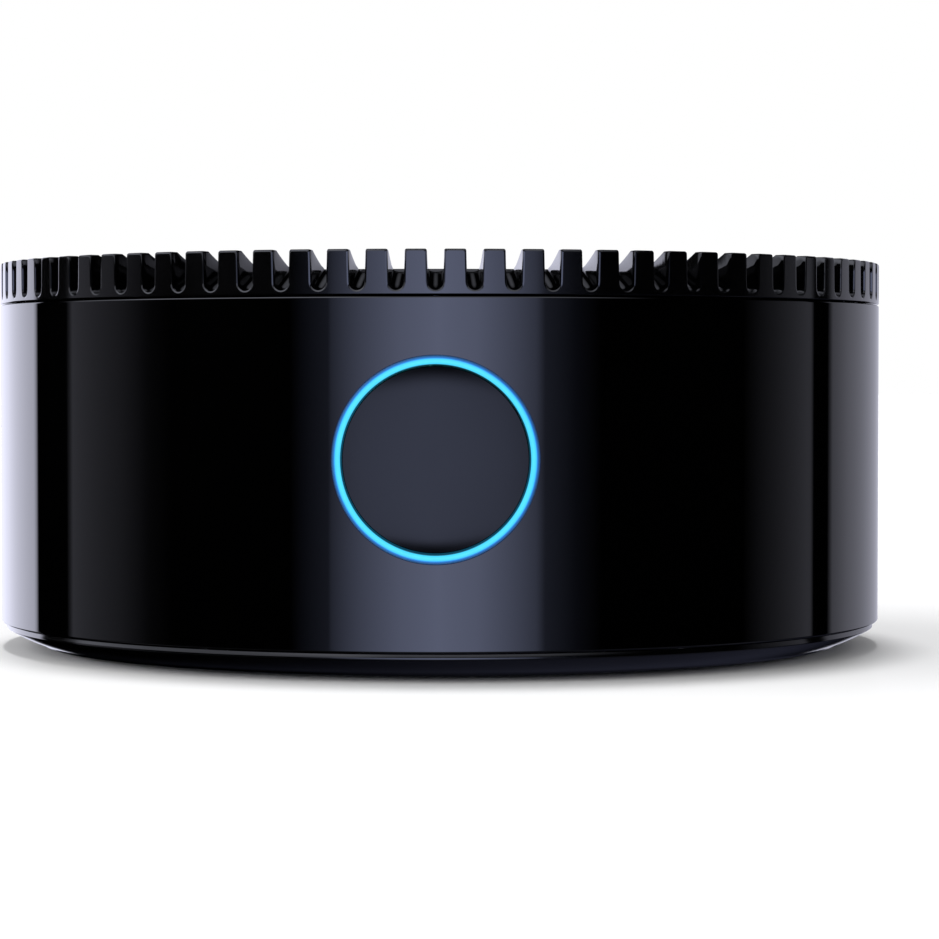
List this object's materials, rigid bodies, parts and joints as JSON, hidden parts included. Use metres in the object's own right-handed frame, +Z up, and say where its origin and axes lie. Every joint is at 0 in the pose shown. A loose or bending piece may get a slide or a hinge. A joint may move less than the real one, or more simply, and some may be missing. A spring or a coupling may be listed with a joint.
{
  "type": "streaming media player",
  "caption": "Short round glossy drum with a finned crown, a front push button inside a glowing ring, and a recessed socket panel at the back.",
  "frame": {"origin": "on the axis of the drum, at the surface that its foot ring stands on", "axes": "+Z up along the drum's axis, -Y out of the front button, +Y out of the socket panel, +X to the right seen from the front"},
  "size_m": [0.11, 0.11, 0.0474],
  "materials": {
    "body_shell": "high gloss",
    "base_tray": "gloss",
    "crown_ring": "gloss",
    "top_lid": "satin",
    "power_button": "satin",
    "light_ring": "frosted",
    "foot_ring": "matt",
    "rear_panel": "matt",
    "button_sleeve": "matt",
    "light_carrier": "matt",
    "switch_plunger": "matt",
    "reset_button": "matt",
    "heat_column": "cast",
    "ribbon_cable": "satin",
    "screws": "plated",
    "leds": "clear",
    "boards": "solder mask",
    "radio_board": "solder mask",
    "plated_shells": "tin plated",
    "thermal_pads": "matt",
    "cable_jacket": "satin",
    "antenna_foil": "satin",
    "capacitor": "satin",
    "pale_plastic": "matt",
    "chip_plastic": "moulded"
  },
  "bodies": {
    "housing": {"antenna_1": "antenna_foil", "antenna_2": "antenna_foil", "antenna_cable_1": "cable_jacket", "antenna_cable_2": "cable_jacket", "base_screw_1": "screws", "base_screw_2": "screws", "base_screw_3": "screws", "base_screw_4": "screws", "base_tray": "base_tray", "board_screw_1": "screws", "board_screw_2": "screws", "board_screw_3": "screws", "board_screw_4": "screws", "body_shell": "body_shell", "button_sleeve": "button_sleeve", "button_switch": "chip_plastic", "capacitor": "capacitor", "crown_ring": "crown_ring", "crown_screw_1": "screws", "crown_screw_2": "screws", "crown_screw_3": "screws", "crown_screw_4": "screws", "ethernet_port": "plated_shells", "flash_chip": "chip_plastic", "foot_ring": "foot_ring", "hdmi_port": "plated_shells", "heat_column": "heat_column", "infrared_receiver": "chip_plastic", "led_1": "leds", "led_2": "leds", "led_3": "leds", "led_4": "leds", "led_5": "leds", "led_6": "leds", "led_board": "boards", "lid_pad": "thermal_pads", "light_board_screw_1": "screws", "light_board_screw_2": "screws", "light_carrier": "light_carrier", "light_ring": "light_ring", "mainboard": "boards", "memory_chip_1": "chip_plastic", "memory_chip_2": "chip_plastic", "power_chip": "chip_plastic", "power_inductor": "chip_plastic", "power_jack": "chip_plastic", "processor": "chip_plastic", "rear_panel": "rear_panel", "reset_switch": "chip_plastic", "ribbon_cable": "ribbon_cable", "ribbon_socket": "pale_plastic", "thermal_pad": "thermal_pads", "top_lid": "top_lid", "usb_port": "plated_shells", "wifi_board": "radio_board", "wifi_shield": "plated_shells"},
    "power_button": {"power_button": "power_button", "switch_plunger": "switch_plunger"},
    "reset_button": {"reset_button": "reset_button", "reset_plunger": "pale_plastic"}
  },
  "joints": [
    {"name": "power_button_press", "type": "slide", "parent": "housing", "child": "power_button", "axis": [0, 1, 0], "range_m": [0, 0.0005], "stiffness_N_per_m": 1500},
    {"name": "reset_button_press", "type": "slide", "parent": "housing", "child": "reset_button", "axis": [0, -1, 0], "range_m": [0, 0.0003], "stiffness_N_per_m": 1500}
  ]
}
